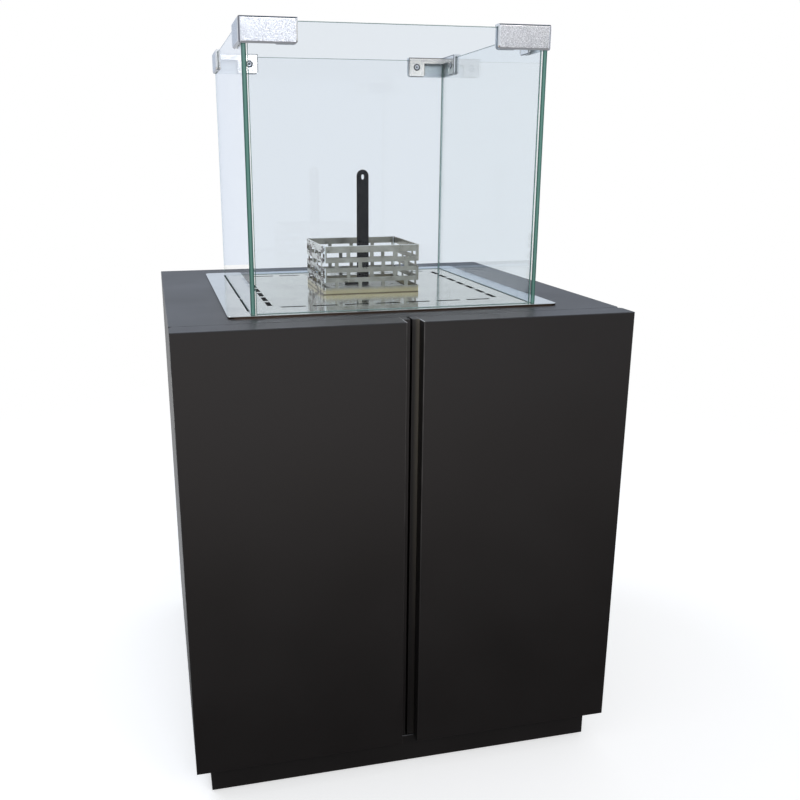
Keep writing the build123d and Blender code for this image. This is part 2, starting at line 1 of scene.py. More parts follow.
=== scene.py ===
import json
import math
import bmesh
import bpy
import numpy as np
from mathutils import Euler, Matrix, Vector


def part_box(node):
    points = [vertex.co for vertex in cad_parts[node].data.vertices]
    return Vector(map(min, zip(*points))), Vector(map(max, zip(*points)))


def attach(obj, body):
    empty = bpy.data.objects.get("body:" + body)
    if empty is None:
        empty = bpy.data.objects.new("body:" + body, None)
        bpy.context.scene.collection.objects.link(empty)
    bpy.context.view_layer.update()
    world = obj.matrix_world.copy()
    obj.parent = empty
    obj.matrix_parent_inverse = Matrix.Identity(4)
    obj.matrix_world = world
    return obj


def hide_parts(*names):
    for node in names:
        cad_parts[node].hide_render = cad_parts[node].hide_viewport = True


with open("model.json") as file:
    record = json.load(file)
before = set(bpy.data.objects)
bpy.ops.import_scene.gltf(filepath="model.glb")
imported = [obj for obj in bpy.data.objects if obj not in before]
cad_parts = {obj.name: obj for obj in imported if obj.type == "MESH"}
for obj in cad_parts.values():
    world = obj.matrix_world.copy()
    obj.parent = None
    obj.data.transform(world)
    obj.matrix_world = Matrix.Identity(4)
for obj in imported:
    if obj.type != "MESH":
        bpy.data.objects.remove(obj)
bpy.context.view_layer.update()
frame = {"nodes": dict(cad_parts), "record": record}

nodes = frame["nodes"]
mm = 0.001
white, black = "#FFFFFF", "#000000"
noiseSpan = (0.3, 0.7)  # most of a noise's values lie between these two
print("frame loaded:", len(nodes), "nodes")


# sRGB hex to linear: a channel c becomes ((c + 0.055) / 1.055) to the power 2.4, or c / 12.92 when dark
def linearColour(hexCode):
    channels = [int(hexCode[i:i + 2], 16) / 255 for i in (1, 3, 5)]
    return tuple(c / 12.92 if c <= 0.04045 else ((c + 0.055) / 1.055) ** 2.4 for c in channels) + (1.0,)


# one node with its settings and links: an input gets a value, a hex colour, a node's output, or a node,
# which stands for its first live output
def addNode(tree, kind, inputs=(), stops=(), **settings):
    node = tree.nodes.new("ShaderNode" + kind)
    for name, value in settings.items():
        setattr(node, name, value)
    if stops:
        ramp = node.color_ramp.elements
        while len(ramp) < len(stops):
            ramp.new(0.5)
        for element, (place, colour) in zip(ramp, stops):
            element.position = place
            element.color = linearColour(colour)
    for name, value in (inputs.items() if isinstance(inputs, dict) else enumerate(inputs)):
        if isinstance(value, bpy.types.Node):
            value = next(out for out in value.outputs if out.enabled)
        if isinstance(value, bpy.types.NodeSocket):
            tree.links.new(value, node.inputs[name])
        else:
            node.inputs[name].default_value = linearColour(value) if isinstance(value, str) else value
    return node


# an empty material with its tree
def newMaterial(name):
    material = bpy.data.materials.new(name)
    material.use_nodes = True
    material.node_tree.nodes.clear()
    return material, material.node_tree


# cloudy pattern in the piece's own metres: size is the width of one blotch, stretch its length along each axis
def blotches(tree, size, detail=2.0, stretch=(1, 1, 1), roughness=0.5):
    place = addNode(tree, "TexCoord").outputs["Object"]
    scaled = addNode(tree, "Mapping", {"Vector": place, "Scale": [1 / (size * s) for s in stretch]})
    return addNode(tree, "TexNoise", {"Vector": scaled, "Scale": 1.0, "Detail": detail, "Roughness": roughness})


# where a shaded point is and which way its face looks, as six plain values
def placeAndFacing(tree):
    source = addNode(tree, "TexCoord").outputs
    place = addNode(tree, "SeparateXYZ", [source["Object"]]).outputs
    facing = addNode(tree, "SeparateXYZ", [source["Normal"]]).outputs
    return list(place) + list(facing)


# colour stops from dark to light over the span of a noise
def twoTone(dark, light, span=noiseSpan):
    return list(zip(span, (dark, light)))


# Cabinet: fibreboard sprayed with satin black lacquer. The spray leaves a fine pebbled skin that
# blurs the reflections; along the finger groove a painted highlight lies on the arrises and painted light on
# the lip.
lacquer = {"dark": "#120E0D", "light": "#181311", "ior": 1.6, "roughness": (0.44, 0.50),
           "cloud": 140 * mm, "pebble": 1.6 * mm, "pebbleShade": 0.5, "pebbleDepth": 0.03 * mm}
groove = {
    "front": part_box("left_door")[0][1], "top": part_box("left_door")[1][2],  # of both doors
    "half": 11 * mm, "deep": 20 * mm,  # half the mouth, and how far the lips lie behind the front
    "arrisHighlight": "#7B7672", "reach": 1.2 * mm,  # a painted highlight along an arris
    "patch": 30 * mm, "patchSpan": (0.35, 0.65), "patchLeast": 0.5,  # the painted highlight comes and goes
    "heightRamp": (200 * mm, 560 * mm), "heightRampLeast": 0.1,  # stronger higher up
    "lip": "#6B6456", "lipReach": 0.5 * mm, "lipFrom": 4.4 * mm,  # painted light on the lip, paler from this x to the mouth's edge
    "topEdgeHighlight": "#E6E6E6", "topReach": (0.2 * mm, 0.4 * mm),  # a painted highlight at the top of each arris
}


# Painted highlights and painted light on the groove. A point lies max(| |x| - half |, min(behind, below)) away
# from the arrises, where behind and below count from the doors' front and top. It is on a lip where behind is
# the groove's depth, and on a top edge where it is above that depth and below is nearly nothing.
def paintGrooveLight(tree, colour):
    x, y, z = placeAndFacing(tree)[:3]
    aside = addNode(tree, "Math", [x], operation="ABSOLUTE")
    pastLine = addNode(tree, "Math", [aside, groove["half"]], operation="SUBTRACT")
    behind = addNode(tree, "Math", [y, groove["front"]], operation="SUBTRACT")
    below = addNode(tree, "Math", [groove["top"], z], operation="SUBTRACT")
    pastLip = addNode(tree, "Math", [behind, groove["deep"]], operation="SUBTRACT")
    offLine, offLip = (addNode(tree, "Math", [past], operation="ABSOLUTE") for past in (pastLine, pastLip))
    nearest = addNode(tree, "Math", [behind, below], operation="MINIMUM")
    away = addNode(tree, "Math", [offLine, nearest], operation="MAXIMUM")
    arrisLight = addNode(tree, "MapRange", [away, 0.0, groove["reach"], 1.0, 0.0])
    patchy = addNode(tree, "MapRange", [blotches(tree, groove["patch"], detail=3.0), *groove["patchSpan"],
                                        groove["patchLeast"], 1.0])
    higherUp = addNode(tree, "MapRange", [z, *groove["heightRamp"], groove["heightRampLeast"], 1.0])
    nearLip = addNode(tree, "MapRange", [offLip, 0.0, groove["lipReach"], 1.0, 0.0])
    # painted light: only the right door's lip turns to the light, so it is painted paler towards its inner
    # corner
    inMouth = addNode(tree, "Math", [x, groove["half"]], operation="LESS_THAN")
    toCorner = addNode(tree, "MapRange", [x, groove["lipFrom"], groove["half"], 0.0, 1.0])
    onLevel = addNode(tree, "Math", [below, pastLip], operation="MAXIMUM")
    onTop = addNode(tree, "MapRange", [onLevel, *groove["topReach"], 1.0, 0.0])
    # the arris line and the top edges are painted highlights, the lip's paler colour is painted light
    for factors, hexCode in (((patchy, higherUp, arrisLight), groove["arrisHighlight"]),
                             ((nearLip, inMouth, toCorner, higherUp), groove["lip"]),
                             ((onTop, arrisLight), groove["topEdgeHighlight"])):
        amount = factors[0]
        for factor in factors[1:]:
            amount = addNode(tree, "Math", [amount, factor], operation="MULTIPLY")
        colour = addNode(tree, "Mix", {0: amount, 6: colour, 7: hexCode}, data_type="RGBA")
    return colour


# colour is cloud and pebble added up, half each; the cloud alone moves the roughness, the pebble the height;
# when given, the groove's painted highlights and painted light go onto the colour
def satinBlackLacquer(name, arrisLight=None):
    material, tree = newMaterial(name)
    cloud = blotches(tree, lacquer["cloud"], detail=3.0)
    pebble = blotches(tree, lacquer["pebble"])
    shade = addNode(tree, "Math", [pebble, lacquer["pebbleShade"]], operation="MULTIPLY")
    mottled = addNode(tree, "Math", [cloud, 1 - lacquer["pebbleShade"], shade], operation="MULTIPLY_ADD")
    colour = addNode(tree, "ValToRGB", {"Fac": mottled}, stops=twoTone(lacquer["dark"], lacquer["light"]))
    if arrisLight:
        colour = arrisLight(tree, colour)
    shader = addNode(tree, "BsdfPrincipled", {
        "Base Color": colour,
        "Roughness": addNode(tree, "MapRange", [cloud, *noiseSpan, *lacquer["roughness"]]),
        "IOR": lacquer["ior"],
        "Normal": addNode(tree, "Bump", {"Height": pebble, "Strength": 0.6,
                                         "Distance": lacquer["pebbleDepth"]}),
    })
    addNode(tree, "OutputMaterial", {"Surface": shader})
    return material


# Plinth blocks: sawn pine, pale with darker late-wood lines that run along the grain.
pine = {"lateWood": "#C9A070", "earlyWood": "#E3C79B", "ring": 2.5 * mm, "grain": (1, 1, 14),
        "sawDepth": 0.2 * mm}


# the lines are a noise drawn out along z, which gives both colour and height
def sawnPine():
    material, tree = newMaterial("sawnPine")
    rings = blotches(tree, pine["ring"], detail=3.0, stretch=pine["grain"])
    shader = addNode(tree, "BsdfPrincipled", {
        "Base Color": addNode(tree, "ValToRGB", {"Fac": rings},
                              stops=twoTone(pine["lateWood"], pine["earlyWood"])),
        "Roughness": 0.75,
        "Normal": addNode(tree, "Bump", {"Height": rings, "Strength": 0.5, "Distance": pine["sawDepth"]}),
    })
    addNode(tree, "OutputMaterial", {"Surface": shader})
    return material


# Metal sheet in general: its colour comes from the metal, its look from how blurred and how even the
# reflections are. Lines of 0.6 mm are the rolling or brushing, drawn coarser than real so they show.
sheetLines = {"width": 0.6 * mm, "depth": 0.01 * mm, "along": (20, 1, 1), "bowWidth": 45 * mm}


# smudges move colour and roughness, lines along x give the height; bow adds a slow wave, because a thin
# sheet is never quite flat, and stain changes the colour in places, with stains and with painted light and
# shade
def sheetMetal(name, darkHex, lightHex, roughness, cloud=60 * mm, bow=0.0, stainAndLight=None):
    material, tree = newMaterial(name)
    smudge = blotches(tree, cloud, detail=4.0)
    line = blotches(tree, sheetLines["width"], stretch=sheetLines["along"])
    colour = addNode(tree, "ValToRGB", {"Fac": smudge}, stops=twoTone(darkHex, lightHex))
    if stainAndLight:
        colour = stainAndLight(tree, colour)
    normal = addNode(tree, "Bump", {"Height": line, "Strength": 0.5, "Distance": sheetLines["depth"]})
    if bow:
        wave = blotches(tree, sheetLines["bowWidth"], detail=1.0)
        normal = addNode(tree, "Bump", {"Height": wave, "Strength": 1.0, "Distance": bow, "Normal": normal})
    shader = addNode(tree, "BsdfPrincipled", {
        "Base Color": colour,
        "Metallic": 1.0,
        "Roughness": addNode(tree, "MapRange", [smudge, *noiseSpan, *roughness]),
        "Normal": normal,
    })
    addNode(tree, "OutputMaterial", {"Surface": shader})
    return material


# Guard: perforated stainless. Heat from the flame turns its foot straw yellow up to about 5 mm, fading over
# 4 mm more at an uneven height. A thin brown line runs along the bottom edge, and the left sheet, which
# catches more light, is painted paler as painted light and has brown spots of dried fuel. Painted shade lies in
# the slot edges and corner gaps, painted highlights on the top rim and the sheet ends.
guard = {
    "low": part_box("guard_front_right")[0], "high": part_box("guard_back_left")[1],
    "cut": "#38342E", "cutLook": (0.7, 0.9),  # punched slot edges, which look up or down: the dull raw cut with painted shade in the slots
    "rim": "#F6F4EE", "rimReach": (0.3 * mm, 0.9 * mm),  # a painted highlight on the top rim
    # the left sheet's paler colour is painted light
    "left": "#F4F3EE", "leftReach": (1.5 * mm, 2.5 * mm), "leftLightShare": 0.7,
    "seamHighlight": "#FFFFFA", "seamWidth": 3.2 * mm,  # a painted highlight on the sheet end at each open corner
    "gap": "#211D19", "gapWidth": 7.0 * mm, "soften": 0.3 * mm,  # and painted shade in the gap beside it,
    "gapLook": (0.4, 0.6),  # on the faces that look aside
    "straw": "#CDBD92", "strawTop": 7 * mm, "strawFade": 4 * mm, "strawWave": 4 * mm, "strawShare": 0.8,
    "brown": "#4A3320", "line": (0.9 * mm, 1.44 * mm), "lineShare": 0.75,  # full to its first height
    "spot": 5 * mm, "spotStretch": (1, 4, 1), "spotSpan": (0.50, 0.54), "spotShare": 0.95,
}


# An open corner is where max(in from the corner along x, along y) is small; of the two corners the nearer
# counts. Faces that look along x get the gap's painted shade there, the others the seam's painted highlight.
# Straw is where height + wave * noise is low, brown the higher of edge line and spots.
def heatStainAndLight(tree, colour):
    x, y, z, lookX, _, lookZ = placeAndFacing(tree)
    low, high = guard["low"], guard["high"]
    above = addNode(tree, "Math", [z, low[2]], operation="SUBTRACT")
    below = addNode(tree, "Math", [high[2], z], operation="SUBTRACT")
    alongX, alongZ = (addNode(tree, "Math", [look], operation="ABSOLUTE") for look in (lookX, lookZ))
    level = addNode(tree, "MapRange", [alongZ, *guard["cutLook"]])
    sideways = addNode(tree, "MapRange", [alongX, *guard["gapLook"]])
    onRim = addNode(tree, "MapRange", [below, *guard["rimReach"], 1.0, 0.0])
    onLeft = addNode(tree, "MapRange", [x, *(low[0] + reach for reach in guard["leftReach"]), 1.0, 0.0])
    bright = addNode(tree, "Math", [onLeft, guard["leftLightShare"]], operation="MULTIPLY")
    corners = []
    for (cornerX, cornerY), sign in ((low[:2], 1), (high[:2], -1)):
        inX = addNode(tree, "Math", [x, sign, -sign * cornerX], operation="MULTIPLY_ADD")
        inY = addNode(tree, "Math", [y, sign, -sign * cornerY], operation="MULTIPLY_ADD")
        corners.append(addNode(tree, "Math", [inX, inY], operation="MAXIMUM"))
    corner = addNode(tree, "Math", corners, operation="MINIMUM")
    inGap, inSeam = (addNode(tree, "MapRange", [corner, width, width + guard["soften"], 1.0, 0.0])
                     for width in (guard["gapWidth"], guard["seamWidth"]))
    atCorner = addNode(tree, "Mix", {0: sideways, 2: inSeam, 3: inGap})
    cornerLightAndShade = addNode(tree, "Mix", {0: sideways, 6: guard["seamHighlight"], 7: guard["gap"]}, data_type="RGBA")
    wavy = addNode(tree, "Math", [blotches(tree, guard["spot"]), guard["strawWave"], above],
                   operation="MULTIPLY_ADD")
    straw = addNode(tree, "MapRange", [wavy, guard["strawTop"], guard["strawTop"] + guard["strawFade"],
                                       guard["strawShare"], 0.0])
    onLine = addNode(tree, "MapRange", [above, *guard["line"], guard["lineShare"], 0.0])
    dried = blotches(tree, guard["spot"], detail=3.0, stretch=guard["spotStretch"], roughness=0.6)
    spots = addNode(tree, "MapRange", [dried, *guard["spotSpan"], 0.0, guard["spotShare"]])
    spotted = addNode(tree, "Math", [onLeft, spots], operation="MULTIPLY")
    brown = addNode(tree, "Math", [onLine, spotted], operation="MAXIMUM")
    # slot edges get painted shade with the cut, rim and left sheet painted light, corners painted highlight and
    # shade; straw and brown are stains
    for amount, over in ((level, guard["cut"]), (onRim, guard["rim"]), (bright, guard["left"]),
                         (atCorner, cornerLightAndShade), (straw, guard["straw"]), (brown, guard["brown"])):
        colour = addNode(tree, "Mix", {0: amount, 6: colour, 7: over}, data_type="RGBA")
    return colour


# Burner plate: its sheared edges are painted darker than its bright face, a painted shade.
plate = {"edge": "#57493F", "edgeLook": (0.4, 0.8)}


# the face's colour where a point looks up, the painted shade's where it looks aside
def cutEdge(tree, colour):
    upright = addNode(tree, "MapRange", [placeAndFacing(tree)[5], *plate["edgeLook"]])
    return addNode(tree, "Mix", {0: upright, 6: plate["edge"], 7: colour}, data_type="RGBA")


# Glass: clear toughened float, 6 mm, with ground and polished edges. The faces have a pale blue cast,
# which differs from pane to pane as painted light and shade; the edges show the iron in the glass as deep
# green, darker at both arrises, and the level edges a paler painted highlight. The IOR is matched: at 1.52 the
# white surroundings stand too strongly in the second face of a pane.
pane = {"edge": "#5F9184", "edgeDark": "#2F5A51", "edgeLight": "#86B3A6", "levelEdgeHighlight": "#B4C8C6", "ior": 1.42,
        "faceLook": (0.90, 0.95), "levelLook": (0.6, 0.8), "edgeClear": 0.25, "edgeRoughness": 0.18,
        "castsAndShade": {"glass_left": ("#F8F9F9", 0), "glass_right": ("#F7FAFB", 0),
                  "glass_front": ("#E6ECF2", 1), "glass_back": ("#FAFCFE", 1)}}  # and the thin axis; one glass, cast darker or paler per pane as painted light and shade


# clear where a point looks along the thin axis; elsewhere green by its share of the thickness, or the
# level edge's paler grey green, a painted highlight, where it looks up or down
def clearGlass(name, cast, thinAxis, low, high):
    material, tree = newMaterial(name)
    values = placeAndFacing(tree)
    across, facing, up = values[thinAxis], values[thinAxis + 3], values[5]
    alongThin, alongZ = (addNode(tree, "Math", [look], operation="ABSOLUTE") for look in (facing, up))
    onFace = addNode(tree, "MapRange", [alongThin, *pane["faceLook"]])
    onLevel = addNode(tree, "MapRange", [alongZ, *pane["levelLook"]])
    green = addNode(tree, "ValToRGB", {"Fac": addNode(tree, "MapRange", [across, low, high])},
                    stops=[(0.0, pane["edgeDark"]), (0.25, pane["edge"]), (0.5, pane["edgeLight"]),
                           (0.75, pane["edge"]), (1.0, pane["edgeDark"])])
    rim = addNode(tree, "Mix", {0: onLevel, 6: green, 7: pane["levelEdgeHighlight"]}, data_type="RGBA")
    shader = addNode(tree, "BsdfPrincipled", {
        "Base Color": addNode(tree, "Mix", {0: onFace, 6: rim, 7: cast}, data_type="RGBA"),
        "Transmission Weight": addNode(tree, "MapRange", [onFace, 0.0, 1.0, pane["edgeClear"], 1.0]),
        "Roughness": addNode(tree, "MapRange", [onFace, 0.0, 1.0, pane["edgeRoughness"], 0.0]),
        "IOR": pane["ior"],
    })
    clear = addNode(tree, "BsdfTransparent", {"Color": cast})  # a pane's shadow is clear
    mixed = addNode(tree, "MixShader", [addNode(tree, "LightPath").outputs["Is Shadow Ray"], shader, clear])
    addNode(tree, "OutputMaterial", {"Surface": mixed})
    return material


# Clips: zinc castings. The two outer covers are grit-blasted inside a smooth border, so they glitter
# softly and stay pale grey; the grit is drawn coarser than real so it shows. Bevels and flanges are
# smooth. The top bevel and the undersides are painted darker as painted shade, the legs' ends and the faces
# that hold the glass pale and dull as painted light, and a painted shade line runs along the flanges' edges.
clip = {
    "outerX": abs(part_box("clip_front_left")[0][0]), "frontY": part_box("clip_front_left")[0][1],
    "backY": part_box("clip_back_left")[1][1],
    "low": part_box("clip_front_left")[0][2], "high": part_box("clip_front_left")[1][2],
    "leg": 72 * mm, "strip": 10 * mm, "tab": 28 * mm,  # a leg's length, its flange's strip height and tab width
    "cover": 3.0 * mm, "grip": 10.6 * mm,  # depths of the two faces that hold the glass
    "flange": 12.6 * mm,  # from this depth on the flange's room side begins
    "border": 2.4 * mm, "soften": 0.6 * mm,
    "grit": 0.9 * mm, "gritDepth": 0.16 * mm, "gritSpan": (0.35, 0.65),
    "gritDark": "#8E9096", "gritLight": "#EEF0F2", "roughness": (0.24, 0.36), "dullMetal": 0.1,
    # the top bevel's and the undersides' colours are painted shade, the ends' pale colour is painted light
    "smooth": "#FBF7F0", "topBevelShade": "#66686E", "cornerBevel": "#8F8B8C", "underShade": "#B4B4B7", "endLight": "#EFEFF0",
    # the grip faces' pale colour is painted light, the flange edges' dark line is painted shade
    "gripLight": "#E9EDEE", "flangeEdgeShade": "#505257", "rolledLine": (0.7 * mm, 1.3 * mm),
    "hairline": (0.1 * mm, 0.2 * mm), "bondLine": (0.2 * mm, 0.3 * mm), "endLine": (0.2 * mm, 0.6 * mm),
    "steepLook": (0.35, 0.55), "levelLook": (0.85, 0.95), "underLook": (-0.55, -0.35), "slantLook": (0.4, 0.6),
}


# All four clips at once, by symmetry: in from the outside along x and y, the smaller is the depth into
# the clip, the larger the way along its leg. A painted shade line runs along a flange's edges, where the larger
# of the ways into its strip and its tab is about 1 mm.
def blastedZinc():
    material, tree = newMaterial("gritBlastedZinc")
    x, y, z, lookX, lookY, lookZ = placeAndFacing(tree)
    middle, halfSpan = (clip["frontY"] + clip["backY"]) / 2, (clip["backY"] - clip["frontY"]) / 2
    fromMiddle = addNode(tree, "Math", [y, middle], operation="SUBTRACT")
    asideX, asideY, alongX, alongY = (addNode(tree, "Math", [value], operation="ABSOLUTE")
                                      for value in (x, fromMiddle, lookX, lookY))
    inX = addNode(tree, "Math", [clip["outerX"], asideX], operation="SUBTRACT")
    inY = addNode(tree, "Math", [halfSpan, asideY], operation="SUBTRACT")
    along = addNode(tree, "Math", [inX, inY], operation="MAXIMUM")
    depth = addNode(tree, "Math", [inX, inY], operation="MINIMUM")
    toEnd = addNode(tree, "Math", [clip["leg"], along], operation="SUBTRACT")
    ends = addNode(tree, "Math", [along, toEnd], operation="MINIMUM")
    fromTop = addNode(tree, "Math", [clip["high"], z], operation="SUBTRACT")
    fromFoot = addNode(tree, "Math", [z, clip["low"]], operation="SUBTRACT")
    rows = addNode(tree, "Math", [fromTop, fromFoot], operation="MINIMUM")
    inward = addNode(tree, "Math", [ends, rows], operation="MINIMUM")
    inside = addNode(tree, "MapRange", [inward, clip["border"] - clip["soften"], clip["border"]])
    onCover = addNode(tree, "MapRange", [depth, *clip["hairline"], 1.0, 0.0])
    blasted = addNode(tree, "Math", [inside, onCover], operation="MULTIPLY")
    grit = blotches(tree, clip["grit"])
    relief = addNode(tree, "Math", [grit, blasted], operation="MULTIPLY")
    speckle = addNode(tree, "ValToRGB", {"Fac": grit},
                      stops=twoTone(clip["gritDark"], clip["gritLight"], clip["gritSpan"]))
    # the top bevel looks up and out, the upright one stands where the two covers meet
    steep = addNode(tree, "MapRange", [lookZ, *clip["steepLook"]])
    notLevel = addNode(tree, "MapRange", [lookZ, *clip["levelLook"], 1.0, 0.0])
    onTopBevel = addNode(tree, "Math", [steep, notLevel], operation="MULTIPLY")
    slant = addNode(tree, "Math", [alongX, alongY], operation="MINIMUM")
    slanting = addNode(tree, "MapRange", [slant, *clip["slantLook"]])
    nearCorner = addNode(tree, "Math", [along, clip["cover"]], operation="LESS_THAN")
    onCorner = addNode(tree, "Math", [slanting, nearCorner], operation="MULTIPLY")
    onEnd = addNode(tree, "MapRange", [toEnd, *clip["endLine"], 1.0, 0.0])
    onUnder = addNode(tree, "MapRange", [lookZ, *clip["underLook"], 1.0, 0.0])
    # the two faces that hold the glass lie as far from the middle of its pocket as each other
    between = addNode(tree, "Math", [depth, (clip["cover"] + clip["grip"]) / 2], operation="SUBTRACT")
    between = addNode(tree, "Math", [between], operation="ABSOLUTE")
    offHold = addNode(tree, "Math", [between, (clip["grip"] - clip["cover"]) / 2], operation="SUBTRACT")
    offHold = addNode(tree, "Math", [offHold], operation="ABSOLUTE")
    gripLight = addNode(tree, "MapRange", [offHold, *clip["bondLine"], 1.0, 0.0])
    intoStrip = addNode(tree, "Math", [clip["strip"], fromTop], operation="SUBTRACT")
    intoStrip = addNode(tree, "Math", [intoStrip, fromTop], operation="MINIMUM")
    intoStrip = addNode(tree, "Math", [ends, intoStrip], operation="MINIMUM")
    intoTab = addNode(tree, "Math", [clip["tab"], toEnd], operation="SUBTRACT")
    intoTab = addNode(tree, "Math", [intoTab, toEnd], operation="MINIMUM")
    intoTab = addNode(tree, "Math", [intoTab, rows], operation="MINIMUM")
    intoFlange = addNode(tree, "Math", [intoStrip, intoTab], operation="MAXIMUM")
    flangeEdgeShade = addNode(tree, "MapRange", [intoFlange, *clip["rolledLine"], 1.0, 0.0])
    onFlange = addNode(tree, "MapRange", [depth, clip["flange"], clip["flange"] + clip["soften"]])
    outline = addNode(tree, "Math", [flangeEdgeShade, onFlange], operation="MULTIPLY")
    colour = addNode(tree, "Mix", {0: blasted, 6: clip["smooth"], 7: speckle}, data_type="RGBA")
    # painted shade on the top bevel, undersides and flange edges, painted light on the ends and grip faces
    for amount, over in ((onTopBevel, "topBevelShade"), (onCorner, "cornerBevel"), (onEnd, "endLight"),
                         (gripLight, "gripLight"), (onUnder, "underShade"), (outline, "flangeEdgeShade")):
        colour = addNode(tree, "Mix", {0: amount, 6: colour, 7: clip[over]}, data_type="RGBA")
    dull = addNode(tree, "Math", [onUnder, onEnd], operation="MAXIMUM")
    dull = addNode(tree, "Math", [dull, gripLight], operation="MAXIMUM")
    shader = addNode(tree, "BsdfPrincipled", {
        "Base Color": colour,
        "Metallic": addNode(tree, "MapRange", [dull, 0.0, 1.0, 1.0, clip["dullMetal"]]),
        "Roughness": addNode(tree, "MapRange", [blasted, 0.0, 1.0, *clip["roughness"]]),
        "Normal": addNode(tree, "Bump", {"Height": relief, "Strength": 1.0, "Distance": clip["gritDepth"]}),
    })
    addNode(tree, "OutputMaterial", {"Surface": shader})
    return material


# Handle: flat bar in stoved semi-gloss black, with small pale chips where the paint is knocked.
handlePaint = {"paint": "#08080B", "bare": "#7A7A7C", "skin": 1.2 * mm, "skinDepth": 0.04 * mm, "chip": 5 * mm,
               "chipSpan": (0.735, 0.745), "roughness": (0.34, 0.46), "ior": 1.45, "specular": 0.07}


# bare metal where a rough noise is at its highest, elsewhere paint with a fine skin
def stovedBlack():
    material, tree = newMaterial("stovedBlackPaint")
    skin = blotches(tree, handlePaint["skin"])
    knocks = blotches(tree, handlePaint["chip"], detail=4.0, roughness=0.7)
    chip = addNode(tree, "MapRange", [knocks, *handlePaint["chipSpan"]])
    shader = addNode(tree, "BsdfPrincipled", {
        "Base Color": addNode(tree, "Mix", {0: chip, 6: handlePaint["paint"], 7: handlePaint["bare"]},
                              data_type="RGBA"),
        "Roughness": addNode(tree, "MapRange", [skin, *noiseSpan, *handlePaint["roughness"]]),
        "IOR": handlePaint["ior"],
        "Specular IOR Level": handlePaint["specular"],
        "Normal": addNode(tree, "Bump", {"Height": skin, "Strength": 0.4,
                                         "Distance": handlePaint["skinDepth"]}),
    })
    addNode(tree, "OutputMaterial", {"Surface": shader})
    return material


# Soft, matt stuff: a lumpy noise gives both its colour and its height. Needled ceramic wool is off-white
# with loose fibre, closed-cell foam black with fine cells.
def lumpyStuff(name, darkHex, lightHex, lump, lumpDepth, detail, coarseness=0.5, specular=0.5):
    material, tree = newMaterial(name)
    lumps = blotches(tree, lump, detail=detail, roughness=coarseness)
    shader = addNode(tree, "BsdfPrincipled", {
        "Base Color": addNode(tree, "ValToRGB", {"Fac": lumps}, stops=twoTone(darkHex, lightHex)),
        "Roughness": 0.95,
        "Specular IOR Level": specular,
        "Normal": addNode(tree, "Bump", {"Height": lumps, "Strength": 1.0, "Distance": lumpDepth}),
    })
    addNode(tree, "OutputMaterial", {"Surface": shader})
    return material


# Moulded plastic: even colour, with the mould's fine spark-eroded texture.
plastic = {"spark": 0.8 * mm, "sparkDepth": 0.05 * mm, "ior": 1.46}


# one fine noise gives the small change of colour and the height
def mouldedPlastic(name, darkHex, lightHex, roughness):
    material, tree = newMaterial(name)
    spark = blotches(tree, plastic["spark"])
    shader = addNode(tree, "BsdfPrincipled", {
        "Base Color": addNode(tree, "ValToRGB", {"Fac": spark}, stops=twoTone(darkHex, lightHex)),
        "Roughness": roughness,
        "IOR": plastic["ior"],
        "Normal": addNode(tree, "Bump", {"Height": spark, "Strength": 0.5, "Distance": plastic["sparkDepth"]}),
    })
    addNode(tree, "OutputMaterial", {"Surface": shader})
    return material


finishes = {
    "satin_black_board": satinBlackLacquer("satinBlackLacquer"),
    "raw_wood": sawnPine(),
    # a dark, half matt skin straight from the mould
    "glide_plastic": mouldedPlastic("mouldedBlackNylon", "#161616", "#202020", 0.5),
    # nickel bath on steel: a warm, nearly bright grey
    "hinge_steel": sheetMetal("nickelPlatedSteel", "#A9A59A", "#C4C0B4", (0.18, 0.32), cloud=12 * mm),
    # a warm brown that sinks into the dark of the cabinet
    "catch_plastic": mouldedPlastic("mouldedBrownPlastic", "#3A2619", "#4A3223", 0.45),
    # cold rolled between polished rolls: mirror images, bent a little by the sheet's slow waves
    "plate_steel": sheetMetal("brightRolledStainless", "#B3B5AE", "#C6C8C1", (0.06, 0.16), bow=0.05 * mm,
                              stainAndLight=cutEdge),
    # hot-dip zinc: dull blue grey with spangles 9 mm wide
    "air_box_steel": sheetMetal("galvanisedSheet", "#6E7274", "#8F9395", (0.35, 0.55), cloud=9 * mm),
    # drawn in a press: soft reflections, scuffed unevenly
    "tank_steel": sheetMetal("deepDrawnStainless", "#9C9A93", "#B9B7B0", (0.25, 0.4), cloud=25 * mm),
    # punched and bent, then heated again and again: warm and half bright
    "guard_steel": sheetMetal("perforatedStainless", "#9A9688", "#B5B1A4", (0.26, 0.36), cloud=18 * mm,
                              bow=0.015 * mm, stainAndLight=heatStainAndLight),
    # brushed one way, so its reflections blur across the lines
    "lid_steel": sheetMetal("brushedStainless", "#A09F99", "#B8B7B1", (0.25, 0.4), cloud=30 * mm),
    "ceramic_fibre": lumpyStuff("ceramicWool", "#CFCABC", "#F0EDE4", lump=3 * mm, lumpDepth=1.2 * mm,
                                detail=5.0, coarseness=0.7),
    "handle_black": stovedBlack(),
    "clip_metal": blastedZinc(),
    # pressed from clear vinyl: pale and a little glossy against the glass
    "clip_pad_rubber": mouldedPlastic("mouldedClearVinyl", "#DDE5E2", "#EAF0EE", 0.3),
    # zinc plate: a bluish bright grey
    "clip_fastener_steel": sheetMetal("brightZincPlate", "#9A9DA3", "#BFC2C6", (0.15, 0.28), cloud=6 * mm),
}
